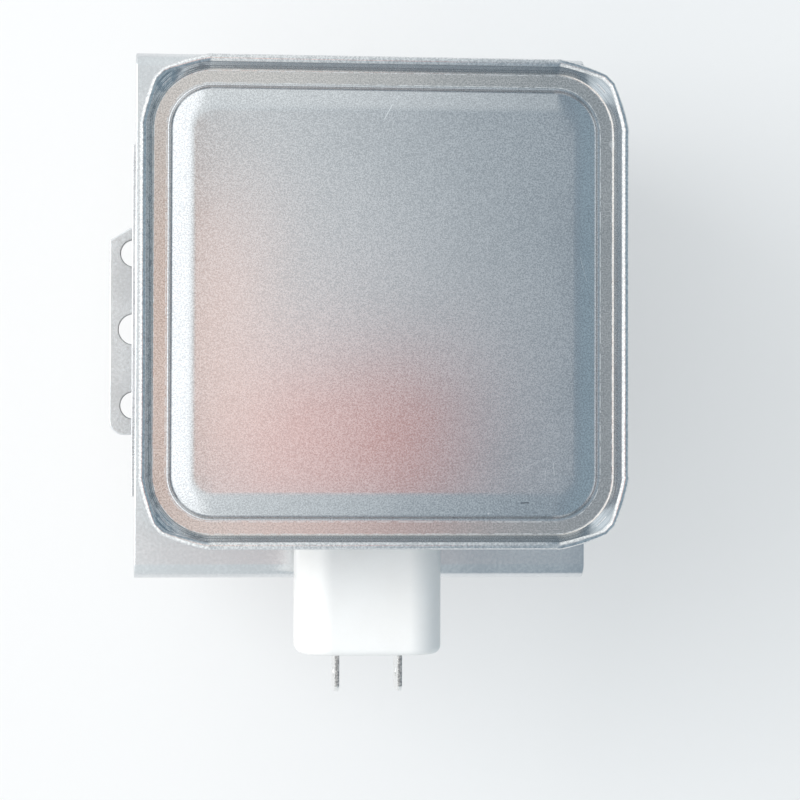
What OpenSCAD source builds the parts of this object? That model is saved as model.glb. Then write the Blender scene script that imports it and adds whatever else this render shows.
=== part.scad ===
// Magnetron of a microwave oven, with its yoke, fins and filter box.
// Millimetres. The origin lies on the tube's axis, in the mounting plate's outer face.
// +Z runs from the plate to the lid of the filter box, and the antenna points along -Z.
// The connector leaves the filter box along -Y, and the mounting ears stand out along X.

/* [Mounting plate] */
// Thickness of the mounting plate
plate_t = 1.6; // [1.2:0.1:2.4]
// Distance between the tips of the two ears
ear_span = 92; // [90:0.5:100]
// Length of each ear along the yoke
ear_l = 43; // [40:0.5:56]
// Rounding of the ear's corners
ear_r = 3; // [1:0.5:4]
// Reach of the slanted end of each ear, towards the yoke
ear_taper_x = 5.5; // [2:0.5:8]
// Height of the slanted end of each ear
ear_taper_y = 3.4; // [1:0.2:4]
// Distance from the tip of an ear to the centres of its bolt holes
bolt_edge = 5; // [4.5:0.5:6]
// Distance from one bolt hole of an ear to the next
bolt_pitch = 15.5; // [12:0.5:16]
// Diameter of the four corner bolt holes
bolt_hole_d = 5.4; // [4.2:0.1:6]
// Diameter of the two middle bolt holes
middle_hole_d = 6.2; // [4.2:0.1:7]

/* [Yoke] */
// Width of the yoke from one open side to the other
yoke_w = 81; // [78:0.5:84]
// Length of the yoke over its two walls
yoke_l = 94; // [88:0.5:104]
// Height from the mounting face to the top of the yoke
yoke_h = 55; // [53:0.5:60]
// Sheet thickness of the yoke
yoke_t = 1.6; // [1.2:0.1:2.4]
// Outer radius of the yoke's two bends
yoke_bend_r = 2.6; // [2.6:0.1:5]
// Width of the tabs that stake the yoke to the plate
stake_w = 12; // [6:0.5:16]
// Distance between the two tabs of a wall
stake_span = 44; // [30:1:60]
// Recess of the staked tabs behind the mounting face
stake_recess = 0.2; // [0.1:0.1:0.6]

/* [Magnets] */
// Diameter of the ferrite rings
magnet_d = 55; // [46:0.5:58]
// Bore of the ferrite rings
magnet_bore = 20.4; // [20:0.1:24]
// Thickness of each ferrite ring
magnet_t = 13; // [11:0.25:13.5]
// Chamfer on the edges of the rings
magnet_chamfer = 0.8; // [0.3:0.1:1.5]

/* [Anode] */
// Outer diameter of the copper anode
anode_d = 39; // [37:0.5:44]
// Wall of the anode
anode_wall = 2; // [1.6:0.1:2.4]
// Number of vanes
vane_count = 10; // [8:2:12]
// Thickness of a vane
vane_t = 1.85; // [1.4:0.05:2]
// Height of a vane
vane_h = 9.5; // [8.5:0.1:10]
// Diameter of the circle on which the vane tips lie
vane_tip_d = 9; // [8.5:0.1:10]
// Mean diameter of the inner straps
inner_strap_d = 13.2; // [12.6:0.1:13.6]
// Mean diameter of the outer straps
outer_strap_d = 17.2; // [16.8:0.1:18]
// Radial width of a strap
strap_w = 0.8; // [0.5:0.1:1]
// Height of a strap
strap_h = 1.3; // [1:0.1:1.6]
// Free room round a strap where a vane doesn't touch it
strap_room = 0.5; // [0.3:0.05:0.55]
// Depth of the straps' upper edge below the vane's edge
strap_inset = 0.3; // [0.1:0.1:0.6]

/* [Pole pieces] */
// Thickness of the pole pieces
pole_t = 1.6; // [1.2:0.1:1.8]
// Distance between the faces of the two pole pieces
pole_gap = 12.4; // [12.2:0.1:13.2]
// Bore of the pole pieces
pole_bore = 9.4; // [9:0.1:10]
// Diameter of the flat face of a pole piece
pole_face_d = 17; // [15:0.5:18]
// Inner diameter of the pole piece's flat rim
pole_rim_d = 26; // [24:0.5:28]
// Depth of the pole pieces' seat in the anode's wall
pole_seat = 1; // [0.6:0.1:1.2]

/* [Cathode] */
// Diameter of the filament coil
filament_d = 3.9; // [3.6:0.1:4.4]
// Diameter of the filament wire
filament_wire_d = 0.5; // [0.4:0.05:0.6]
// Turns of the filament
filament_turns = 7.5; // [6:0.5:9]
// Diameter of the end hat on the output side
lower_hat_d = 7.2; // [6.4:0.1:7.6]
// Diameter of the end hat on the input side
upper_hat_d = 7.8; // [7.6:0.1:8.2]
// Thickness of an end hat
hat_t = 1.3; // [1:0.1:1.4]
// Diameter of the cathode leads
lead_d = 1.5; // [1.2:0.1:1.6]
// Distance of each lead from the axis, in the stem
lead_offset = 2.8; // [2.6:0.1:3]
// Hole in the input end hat, round the centre lead
hat_hole_d = 3; // [2.6:0.1:3.2]

/* [Seals] */
// Outer diameter of the two sealing sleeves
sleeve_d = 19.2; // [18.4:0.1:19.6]
// Sheet thickness of the sleeves
sleeve_t = 0.6; // [0.4:0.1:0.8]
// Diameter of the flange that closes the anode
sleeve_flange_d = 38; // [36:0.5:38.5]
// Reach of the output sleeve beyond the mounting face
output_sleeve_reach = 8; // [6.5:0.5:10]
// Reach of the input sleeve above the yoke
input_sleeve_reach = 5; // [3:0.5:7]

/* [Antenna] */
// Length of the output ceramic
ceramic_l = 9; // [7:0.5:12]
// Bore of the output ceramic
ceramic_bore = 12; // [10:0.5:12.5]
// Outer diameter of the antenna cap
cap_d = 15; // [14:0.1:17]
// Length of the antenna cap
cap_l = 10; // [9.6:0.1:14]
// Sheet thickness of the antenna cap
cap_t = 0.5; // [0.4:0.1:0.7]
// Rounding of the cap's closed end
cap_r = 3; // [1.5:0.5:4]
// Diameter of the antenna lead
antenna_d = 2.5; // [2:0.1:2.8]
// Radius at which the antenna lead is brazed to its vane
antenna_root = 10.8; // [10.4:0.1:11.2]
// Wall of the copper exhaust tube
exhaust_t = 0.8; // [0.5:0.1:1]
// Length of the exhaust tube below the ceramic
exhaust_l = 8; // [6:0.5:8.5]

/* [Gasket] */
// Outer diameter of the wire mesh gasket
gasket_d = 32; // [28:0.5:36]
// Thickness of the gasket
gasket_h = 4.6; // [3:0.2:6]
// Rounding of the gasket's edges
gasket_r = 1.4; // [0.6:0.2:1.4]

/* [Stem] */
// Height of the stem's wide ceramic foot
stem_foot_h = 6; // [4:0.5:8]
// Diameter of the stem's narrow ceramic post
stem_post_d = 13; // [10:0.5:15]
// Height of the stem's narrow ceramic post
stem_post_h = 6; // [3:0.5:8]
// Length of the leads above the stem
lead_reach = 2; // [1.2:0.2:3]
// Diameter of the eyelets brazed round the leads
eyelet_d = 4; // [3:0.2:5]
// Thickness of the eyelets
eyelet_t = 0.5; // [0.3:0.1:0.8]

/* [Cooling fins] */
// Sheet thickness of a fin
fin_t = 0.6; // [0.4:0.1:0.8]
// Reach of the fins beyond the yoke's open sides
fin_overhang = 0.7; // [0:0.1:1.5]
// Length of the fin's outer edge
fin_edge_l = 66; // [50:1:72]
// Depth of the notch at each corner of a fin
fin_notch = 6; // [3:0.5:10]
// Height of the lips that lean on the yoke's walls
fin_lip_h = 3.2; // [2:0.2:3.6]
// Outer radius of the lips' bends
fin_bend_r = 1.2; // [1:0.1:1.8]

/* [Filter box] */
// Height from the yoke to the top of the lid's seam
box_h = 38; // [32:0.5:46]
// Sheet thickness of the box
box_t = 0.6; // [0.5:0.05:0.8]
// Inner radius along the box's floor
box_floor_r = 2; // [1:0.25:3]
// Distance between the rivets of the floor, along each side
rivet_span = 58; // [56:0.5:62]
// Diameter of the rivets' shanks
rivet_d = 3.2; // [2.4:0.1:4]
// Diameter of the rivets' heads
rivet_head_d = 5.6; // [4.6:0.1:6.4]
// Height of the rivets' heads
rivet_head_h = 0.8; // [0.5:0.1:1.2]

/* [Lid] */
// Width of the lid over its folded seams
lid_w = 79.6; // [79:0.1:82]
// Sheet thickness of the lid
lid_t = 0.5; // [0.4:0.05:0.6]
// Width of the raised panel
panel_w = 69.7; // [68:0.1:70]
// Corner radius of the raised panel
panel_r = 7; // [6:0.25:8]
// Radius of the soft edge of the raised panel
panel_edge_r = 3.5; // [2.5:0.25:4]
// Height of the raised panel above the channel
panel_rise = 1.7; // [1.2:0.1:2.2]
// Depth of the channel below the seam's top
channel_depth = 2.1; // [1.6:0.1:2.6]
// Slope of the channel's outer wall and of the seam
seam_angle = 57; // [50:1:64]
// Length of the fold under the box's rim
seam_return = 1.2; // [0.6:0.1:1.4]
// Inward slant of the lid's edge from the seam's end to the corner
corner_slant = 2.4; // [1.5:0.1:2.6]
// Distance from the lid's side to the far end of its blunt corner
corner_blunt = 3.7; // [2.8:0.1:4]
// Rise of the corner's open edge
corner_rise = 0.3; // [0:0.1:0.6]

/* [Chokes] */
// Distance of each choke from the axis
choke_x = 18; // [16:0.5:22]
// Height of the chokes above the yoke
choke_z = 19; // [18:0.5:22]
// Diameter of the choke wire
choke_wire_d = 1.4; // [1:0.1:1.6]
// Turns of a choke
choke_turns = 8.5; // [6.5:1:9.5]
// Pitch of the turns
choke_pitch = 2.6; // [2.3:0.1:2.8]
// Diameter of the ferrite cores
core_d = 5; // [4:0.25:5.5]
// Length of the ferrite cores
core_l = 26; // [22:0.5:30]

/* [Connector] */
// Height of the connector above the yoke
connector_z = 10; // [9.6:0.2:16]
// Width of the white shroud
shroud_w = 25.2; // [23:0.2:28]
// Height of the white shroud
shroud_h = 16; // [14:0.2:18]
// Corner radius of the shroud's section
shroud_r = 6; // [4:0.25:6.75]
// Reach of the shroud from the filter box
shroud_l = 21; // [17:0.2:26]
// Wall of the shroud
shroud_wall = 2; // [1.2:0.1:2.4]
// Rounding of the shroud's end
shroud_edge_r = 1.4; // [0.6:0.1:1.8]
// Thickness of the capacitor's metal flange
flange_t = 1; // [0.6:0.1:1.2]
// Width of the capacitor's metal flange
flange_w = 38; // [36:0.5:44]
// Distance between the flange's two rivets
flange_rivet_span = 31; // [30.5:0.25:34]
// Length of the capacitor's ceramic block
capacitor_l = 8; // [6:0.5:12]
// Diameter of the two bores in the capacitor
capacitor_bore = 3.2; // [2.8:0.1:3.4]
// Reach of the inner case into the filter box
case_l = 10; // [8:0.5:11]
// Wall of the inner case
case_wall = 1.2; // [0.8:0.1:1.6]
// Distance between the two terminals
terminal_span = 10.9; // [9.5:0.1:11.5]
// Width of a terminal tab
tab_w = 6.3; // [4.8:0.1:6.5]
// Thickness of a terminal tab
tab_t = 0.8; // [0.5:0.05:1]
// Length of a tab outside the shroud
tab_l = 6.6; // [6:0.1:9]
// Bevel of a tab's tip
tab_bevel = 1; // [0.5:0.1:1.6]
// Diameter of the hole in a tab
tab_hole_d = 1.7; // [1.2:0.1:2]
// Distance of the hole from the tab's tip
tab_hole_y = 3.2; // [2.6:0.1:3.6]
// Diameter of the rods that run through the capacitor
rod_d = 2; // [1.6:0.1:2.2]
// Reach of the rods beyond the inner case
rod_reach = 2; // [1:0.2:3]

/* [Fits] */
// Gap between pieces that are brazed or pressed together
braze_gap = 0.05; // [0.02:0.01:0.1]
// Gap round pieces that pass through a hole
free_gap = 0.3; // [0.2:0.05:0.35]

/* [Hidden] */
$fn = 64;

// Overrun of the cutting shapes past the faces that they cut
over = 1;
// Segments of a quarter turn in a profile
arc_steps = 6;

// Distance between the bolt holes of the two ears
bolt_span = ear_span - 2 * bolt_edge;

// Heights of the pieces stacked along the axis
anode_bottom = plate_t + magnet_t + sleeve_t;
anode_top = yoke_h - yoke_t - magnet_t - sleeve_t;
anode_h = anode_top - anode_bottom;
mid_z = (anode_bottom + anode_top) / 2;
sleeve_end = -output_sleeve_reach;
ceramic_end = sleeve_end - ceramic_l;
stem_foot_z = yoke_h + input_sleeve_reach;
stem_post_z = stem_foot_z + stem_foot_h;
stem_top = stem_post_z + stem_post_h;
lead_top = stem_top + lead_reach;
lid_top = yoke_h + box_h;

// Half of the room between the end hats, which stay clear of the pole pieces' faces
filament_half = pole_gap / 2 - hat_t - 2 * braze_gap;

// Radii round the axis
anode_r = anode_d / 2;
bore_r = anode_r - anode_wall;
sleeve_r = sleeve_d / 2;
sleeve_hole_r = sleeve_r + free_gap;
pole_r = bore_r + pole_seat - braze_gap;

// The antenna lead leaves its vane, crosses the pole piece on a slant and ends in the exhaust tube
antenna_knee = anode_bottom + 3.4 * pole_t;
antenna_path = [
    [antenna_root, 0, mid_z - vane_h / 2],
    [antenna_root, 0, antenna_knee],
    [antenna_root / 2, 0, anode_bottom - pole_t],
    [0, 0, plate_t],
    [0, 0, ceramic_end - exhaust_l + exhaust_t]
];

// Spacing of the cooling fins along the anode
fin_count = 5;
fin_pitch = anode_h / fin_count;
fin_half_w = yoke_w / 2 + fin_overhang;
fin_half_l = yoke_l / 2 - yoke_t - braze_gap;

// Section of the lid and of the box's rim, measured outwards from the centres of the panel's corners
corner = panel_w / 2 - panel_r;
lid_reach = lid_w / 2 - corner;
roll_r = lid_t + box_t / 2 + braze_gap;
roll_centre = [lid_reach - roll_r, lid_top - roll_r];
slope_end = roll_centre + roll_r * [-sin(seam_angle), cos(seam_angle)];
channel_z = lid_top - channel_depth;
slope_start = [slope_end.x - (slope_end.y - channel_z) / tan(seam_angle), channel_z];
slope_way = [cos(seam_angle), sin(seam_angle)];
panel_z = channel_z + panel_rise;
panel_bend = acos(1 - panel_rise / panel_edge_r);
panel_flat = panel_r - panel_edge_r * sin(panel_bend);
box_wall = slope_start.x + lid_t * tan(seam_angle / 2) + braze_gap;
box_half = corner + box_wall + box_t;
box_floor_z = yoke_h + box_t;
rim_line = slope_start + (lid_t + braze_gap) * [sin(seam_angle), -cos(seam_angle)];
rim_start = [box_wall, rim_line.y + (box_wall - rim_line.x) * tan(seam_angle)];
rim_end = rim_line + (norm(slope_end - slope_start) - box_t / 2 - braze_gap) * slope_way;

// Places of the connector's pieces along Y
connector_height = yoke_h + connector_z;
flange_y = box_half + flange_t;
shroud_end = box_half + shroud_l;
case_end = box_half - case_l;
rod_end = case_end - rod_reach;
tab_end = shroud_end + tab_l;
tab_root = shroud_end - shroud_wall - tab_w / 2;
cavity_w = shroud_w - 2 * shroud_wall;
cavity_h = shroud_h - 2 * shroud_wall;
cavity_r = shroud_r - shroud_wall;
window_w = cavity_w + 2 * free_gap;
window_h = cavity_h + 2 * free_gap;
window_r = cavity_r + free_gap;

function unit(v) = v / norm(v);

// Points of an arc, from one angle to another
function arc(centre, r, from, to, steps = arc_steps) =
    [for (i = [0 : steps]) let (a = from + (to - from) * i / steps) centre + r * [cos(a), sin(a)]];

// Vector that carries point i of a line to the right by one unit of thickness
function right_of(a, b) = let (d = unit(b - a)) [d.y, -d.x];
function miter(line, i) =
    i == 0 ? right_of(line[0], line[1]) :
    i == len(line) - 1 ? right_of(line[i - 1], line[i]) :
    let (m = right_of(line[i - 1], line[i]) + right_of(line[i], line[i + 1])) 2 * m / (m * m);

// Outline of a bent sheet whose left face follows the line
function sheet(line, t) =
    concat(line, [for (i = [len(line) - 1 : -1 : 0]) line[i] + t * miter(line, i)]);

// Directions along a wire, and a side direction carried along it without twist
function wire_ways(p) =
    [for (i = [0 : len(p) - 1]) unit(p[min(i + 1, len(p) - 1)] - p[max(i - 1, 0)])];
function wire_sides(ways, side, i = 0) =
    let (s = unit(side - (side * ways[i]) * ways[i]))
    i == len(ways) - 1 ? [s] : concat([s], wire_sides(ways, s, i + 1));

// Round wire of diameter d along the points of a path
module wire(path, d, sides, first_side) {
    ways = wire_ways(path);
    across = wire_sides(ways, first_side);
    last = len(path) - 1;
    points = [
        for (i = [0 : last]) for (k = [0 : sides - 1])
            let (a = 360 * k / sides)
            path[i] + d / 2 * (cos(a) * across[i] + sin(a) * cross(ways[i], across[i]))
    ];
    walls = [
        for (i = [0 : last - 1]) for (k = [0 : sides - 1])
            let (a = i * sides, n = (k + 1) % sides)
            each [[a + k, a + sides + k, a + sides + n], [a + k, a + sides + n, a + n]]
    ];
    ends = [[for (k = [0 : sides - 1]) k], [for (k = [sides - 1 : -1 : 0]) last * sides + k]];
    polyhedron(points, concat(walls, ends));
}

module ring(d, bore, h) {
    difference() {
        cylinder(d = d, h = h);
        translate([0, 0, -over]) cylinder(d = bore, h = h + 2 * over);
    }
}

module rounded_rectangle(w, l, r) {
    square([w - 2 * r, l], center = true);
    square([w, l - 2 * r], center = true);
    for (x = [-1, 1], y = [-1, 1])
        translate([x * (w / 2 - r), y * (l / 2 - r)]) circle(r);
}

// Profiles are drawn outwards and upwards, and run along the sides or round the corners of a rectangle
module along_sides(half_w, half_l) {
    for (turn = [0, 180]) rotate(turn) {
        translate([-half_w, half_l, 0]) rotate([90, 0, 90]) linear_extrude(2 * half_w) children();
        translate([half_w, half_l, 0]) rotate([90, 0, 0]) linear_extrude(2 * half_l) children();
    }
}

module round_corners(half_w, half_l) {
    for (x = [0, 1], y = [0, 1])
        mirror([x, 0, 0]) mirror([0, y, 0])
            translate([half_w, half_l, 0]) rotate_extrude(angle = 90) children();
}

// Turns a section drawn across X and Z, so that it runs outwards along -Y from the given distance
module along_connector(from, length) {
    translate([0, -from, connector_height]) rotate([90, 0, 0]) linear_extrude(length) children();
}

// Places of the bolt holes in the two ears
module at_corner_bolts() {
    for (x = [-1, 1], y = [-1, 1]) translate([x * bolt_span / 2, y * bolt_pitch]) children();
}

module at_middle_bolts() {
    for (x = [-1, 1]) translate([x * bolt_span / 2, 0]) children();
}

module at_stakes() {
    for (x = [-1, 1], y = [-1, 1])
        translate([x * stake_span / 2, y * (yoke_l - yoke_t) / 2]) children();
}

module at_box_rivets() {
    for (x = [-1, 1], y = [-1, 1]) translate([x * rivet_span / 2, y * rivet_span / 2]) children();
}

// Flat steel plate with an ear at each open side of the yoke
module mounting_plate() {
    color("silver") linear_extrude(plate_t) difference() {
        union() {
            rounded_rectangle(yoke_w, yoke_l, yoke_t);
            difference() {
                rounded_rectangle(ear_span, ear_l, ear_r);
                for (side = [0, 1]) mirror([side, 0]) polygon([
                    [ear_span / 2 - ear_taper_x, ear_l / 2 + over],
                    [ear_span / 2 - ear_taper_x, ear_l / 2],
                    [ear_span / 2, ear_l / 2 - ear_taper_y],
                    [ear_span / 2 + over, ear_l / 2 - ear_taper_y],
                    [ear_span / 2 + over, ear_l / 2 + over]
                ]);
            }
        }
        circle(sleeve_hole_r);
        at_corner_bolts() circle(d = bolt_hole_d);
        at_middle_bolts() circle(d = middle_hole_d);
        at_stakes() square([stake_w + 2 * braze_gap, yoke_t + 2 * braze_gap], center = true);
    }
}

// One steel strip bent into a U, whose walls are staked through the mounting plate
module yoke_frame() {
    bend = [yoke_l / 2 - yoke_bend_r, yoke_h - yoke_bend_r];
    strip = concat(
        [[-yoke_l / 2, plate_t]],
        arc([-bend.x, bend.y], yoke_bend_r, 180, 90),
        arc(bend, yoke_bend_r, 90, 0),
        [[yoke_l / 2, plate_t]]
    );
    color("silver") difference() {
        union() {
            translate([-yoke_w / 2, 0, 0]) rotate([90, 0, 90]) linear_extrude(yoke_w)
                polygon(sheet(strip, yoke_t));
            at_stakes() translate([-stake_w / 2, -yoke_t / 2, stake_recess])
                cube([stake_w, yoke_t, plate_t]);
        }
        translate([0, 0, yoke_h - yoke_t - over]) cylinder(r = sleeve_hole_r, h = yoke_t + 2 * over);
        translate([0, 0, yoke_h - yoke_t - over]) at_box_rivets()
            cylinder(d = rivet_d + 2 * braze_gap, h = yoke_t + 2 * over);
    }
}

module ferrite_ring() {
    color("dimgray") rotate_extrude() polygon([
        [magnet_bore / 2 + magnet_chamfer, 0],
        [magnet_d / 2 - magnet_chamfer, 0],
        [magnet_d / 2, magnet_chamfer],
        [magnet_d / 2, magnet_t - magnet_chamfer],
        [magnet_d / 2 - magnet_chamfer, magnet_t],
        [magnet_bore / 2 + magnet_chamfer, magnet_t],
        [magnet_bore / 2, magnet_t - magnet_chamfer],
        [magnet_bore / 2, magnet_chamfer]
    ]);
}

module output_magnet() {
    translate([0, 0, plate_t]) ferrite_ring();
}

module input_magnet() {
    translate([0, 0, yoke_h - yoke_t - magnet_t]) ferrite_ring();
}

// Copper tube with a seat for a pole piece in each end
module anode_shell() {
    color("peru") translate([0, 0, anode_bottom]) difference() {
        ring(anode_d, 2 * bore_r, anode_h);
        for (z = [-over, anode_h - pole_t])
            translate([0, 0, z]) cylinder(r = bore_r + pole_seat, h = pole_t + over);
    }
}

// Room that a vane leaves for the strap of mean diameter d, cut from the vane's edge
module strap_slot(d, room) {
    depth = strap_inset + strap_h + room;
    translate([0, 0, vane_h / 2 - depth])
        ring(d + strap_w + 2 * room, d - strap_w - 2 * room, depth + over);
}

// Vanes that stand out from the anode's wall to the cathode, in turn on one strap and on the other
module anode_vanes() {
    color("peru") translate([0, 0, mid_z]) for (i = [0 : vane_count - 1])
        rotate(360 * i / vane_count) difference() {
            intersection() {
                translate([vane_tip_d / 2, -vane_t / 2, -vane_h / 2])
                    cube([bore_r, vane_t, vane_h]);
                cylinder(r = bore_r - braze_gap, h = 2 * vane_h, center = true);
            }
            for (end = [0, 1]) mirror([0, 0, end]) {
                joined = (i + end) % 2 == 0;
                strap_slot(inner_strap_d, joined ? braze_gap : strap_room);
                strap_slot(outer_strap_d, joined ? strap_room : braze_gap);
            }
        }
}

// Two flat rings let into each edge of the vanes
module strap_rings() {
    color("peru") translate([0, 0, mid_z]) for (end = [0, 1], d = [inner_strap_d, outer_strap_d])
        mirror([0, 0, end]) translate([0, 0, vane_h / 2 - strap_inset - strap_h])
            ring(d + strap_w, d - strap_w, strap_h);
}

// Dished iron disc, drawn with its rim at the anode's end and its face towards the vanes
module pole_piece() {
    depth = anode_h / 2 - pole_gap / 2;
    rotate_extrude() polygon([
        [pole_bore / 2, depth],
        [pole_face_d / 2, depth],
        [pole_rim_d / 2, pole_t],
        [pole_r, pole_t],
        [pole_r, 0],
        [pole_rim_d / 2 - pole_t / 2, 0],
        [pole_face_d / 2 - pole_t / 2, depth - pole_t],
        [pole_bore / 2, depth - pole_t]
    ]);
}

module output_pole() {
    slant = antenna_path[2] - antenna_path[1];
    color("lightslategray") difference() {
        translate([0, 0, anode_bottom]) pole_piece();
        translate(antenna_path[1] - slant) rotate([0, atan2(slant.x, slant.z), 0])
            cylinder(d = antenna_d + 4 * free_gap, h = 2 * norm(slant));
    }
}

module input_pole() {
    color("lightslategray") translate([0, 0, anode_top]) mirror([0, 0, 1]) pole_piece();
}

// Coil of tungsten wire between the two end hats
module cathode_filament() {
    steps = 10;
    r = (filament_d - filament_wire_d) / 2;
    climb = filament_half - filament_wire_d / 2 - braze_gap;
    path = [
        for (i = [0 : steps * filament_turns])
            [r * cos(360 * i / steps), r * sin(360 * i / steps),
             mid_z + climb * (2 * i / (steps * filament_turns) - 1)]
    ];
    color("darkgray") wire(path, filament_wire_d, 6, [1, 0, 0]);
}

module lower_end_hat() {
    color("darkgray") translate([0, 0, mid_z - filament_half - hat_t])
        ring(lower_hat_d, lead_d + 2 * braze_gap, hat_t);
}

module upper_end_hat() {
    color("darkgray") translate([0, 0, mid_z + filament_half]) ring(upper_hat_d, hat_hole_d, hat_t);
}

// The lead on the axis carries the lower end hat, and steps aside to its bore in the stem
module centre_lead() {
    bend_z = yoke_h - yoke_t - magnet_t / 2;
    path = [
        [0, 0, mid_z - filament_half - hat_t],
        [0, 0, bend_z - lead_offset],
        [-lead_offset, 0, bend_z + lead_offset],
        [-lead_offset, 0, lead_top]
    ];
    color("darkgray") wire(path, lead_d, 12, [0, 1, 0]);
}

module side_lead() {
    foot = mid_z + filament_half + hat_t;
    color("darkgray") translate([lead_offset, 0, foot]) cylinder(d = lead_d, h = lead_top - foot);
}

// Flanged tube that closes one end of the anode, drawn with its flange at the bottom
module seal_sleeve(length) {
    rotate_extrude() polygon([
        [sleeve_r - sleeve_t, 0],
        [sleeve_flange_d / 2, 0],
        [sleeve_flange_d / 2, sleeve_t],
        [sleeve_r, sleeve_t],
        [sleeve_r, length],
        [sleeve_r - sleeve_t, length]
    ]);
}

module output_sleeve() {
    color("gainsboro") translate([0, 0, anode_bottom]) mirror([0, 0, 1])
        seal_sleeve(anode_bottom - sleeve_end);
}

module input_sleeve() {
    color("gainsboro") translate([0, 0, anode_top]) seal_sleeve(stem_foot_z - anode_top);
}

// Tube of alumina that lets the microwaves out
module output_ceramic() {
    color("mistyrose") translate([0, 0, ceramic_end]) ring(sleeve_d, ceramic_bore, ceramic_l);
}

module antenna_lead() {
    color("peru") wire(antenna_path, antenna_d, 12, [0, 1, 0]);
}

// Copper tube on a disc that closes the ceramic, sealed round the antenna lead
module exhaust_tube() {
    inner = antenna_d / 2 + braze_gap;
    outer = inner + exhaust_t;
    tip = ceramic_end - exhaust_l;
    color("peru") rotate_extrude() polygon([
        [inner, ceramic_end],
        [cap_d / 2 - cap_t - braze_gap, ceramic_end],
        [cap_d / 2 - cap_t - braze_gap, ceramic_end - exhaust_t],
        [outer, ceramic_end - exhaust_t],
        [outer, tip],
        [outer / 2, tip - exhaust_t],
        [0, tip - exhaust_t],
        [0, tip],
        [inner, tip + exhaust_t]
    ]);
}

// Deep-drawn cap over the exhaust tube
module antenna_cap() {
    closed_end = ceramic_end - cap_l;
    line = concat(
        [[0, closed_end]],
        arc([cap_d / 2 - cap_r, closed_end + cap_r], cap_r, -90, 0),
        [[cap_d / 2, ceramic_end]]
    );
    color("gainsboro") rotate_extrude() polygon(sheet(line, -cap_t));
}

// Ring of knitted wire that closes the joint to the waveguide
module rf_gasket() {
    bore = sleeve_d + 2 * braze_gap;
    wall = (gasket_d - bore) / 2;
    color("darkkhaki") rotate_extrude() translate([bore / 2 + wall / 2, -gasket_h / 2])
        rounded_rectangle(wall, gasket_h, gasket_r);
}

// Alumina post that carries the two cathode leads
module stem_ceramic() {
    color("ivory") difference() {
        union() {
            translate([0, 0, stem_foot_z]) cylinder(d = sleeve_d, h = stem_foot_h);
            translate([0, 0, stem_post_z]) cylinder(d = stem_post_d, h = stem_post_h);
        }
        for (x = [-1, 1]) translate([x * lead_offset, 0, stem_foot_z - over])
            cylinder(d = lead_d + 2 * braze_gap, h = stem_top - stem_foot_z + 2 * over);
    }
}

module stem_eyelets() {
    color("gainsboro") for (x = [-1, 1]) translate([x * lead_offset, 0, stem_top])
        ring(eyelet_d, lead_d + 2 * braze_gap, eyelet_t);
}

// Aluminium sheet pressed on the anode by its collar, with lips that lean on the yoke's walls
module cooling_fin(i) {
    bend = fin_half_l - fin_bend_r;
    line = concat(
        [[-fin_half_l, fin_lip_h]],
        arc([-bend, fin_bend_r], fin_bend_r, 180, 270),
        arc([bend, fin_bend_r], fin_bend_r, 270, 360),
        [[fin_half_l, fin_lip_h]]
    );
    narrow = fin_half_w - fin_notch;
    bore = anode_d + 2 * braze_gap;
    color("whitesmoke") translate([0, 0, anode_bottom + braze_gap + (i - 1) * fin_pitch]) difference() {
        union() {
            translate([-narrow, 0, 0]) rotate([90, 0, 90]) linear_extrude(2 * narrow)
                polygon(sheet(line, -fin_t));
            translate([-fin_half_w, -fin_edge_l / 2, 0]) cube([2 * fin_half_w, fin_edge_l, fin_t]);
            cylinder(d = bore + 2 * fin_t, h = fin_pitch - 2 * braze_gap);
        }
        translate([0, 0, -over]) cylinder(d = bore, h = fin_pitch + 2 * over);
    }
}

// Deep-drawn box, riveted to the yoke, with a flared rim for the lid's seam
module filter_box() {
    wall_line = concat(
        [[0, box_floor_z]],
        arc([box_wall - box_floor_r, box_floor_z + box_floor_r], box_floor_r, -90, 0),
        [rim_start, rim_end]
    );
    section = sheet(wall_line, box_t);
    color("silver") difference() {
        union() {
            translate([-corner, -corner, yoke_h]) cube([2 * corner, 2 * corner, box_t]);
            along_sides(corner, corner) polygon(section);
            round_corners(corner, corner) polygon(section);
        }
        translate([0, 0, yoke_h - over]) {
            cylinder(r = sleeve_hole_r, h = box_t + 2 * over);
            at_box_rivets() cylinder(d = rivet_d + 2 * braze_gap, h = box_t + 2 * over);
        }
        along_connector(box_half - box_t - over, box_t + 2 * over) {
            rounded_rectangle(window_w, window_h, window_r);
            for (x = [-1, 1]) translate([x * flange_rivet_span / 2, 0])
                circle(d = rivet_d + 2 * braze_gap);
        }
    }
}

// Rivet along Z through sheets from height 0 to grip
module rivet(grip) {
    cylinder(d = rivet_d, h = grip);
    translate([0, 0, -rivet_head_h]) cylinder(d = rivet_head_d, h = rivet_head_h);
    translate([0, 0, grip]) cylinder(d = rivet_head_d, h = rivet_head_h);
}

module box_rivets() {
    color("gainsboro") translate([0, 0, yoke_h - yoke_t]) at_box_rivets() rivet(yoke_t + box_t);
}

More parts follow.
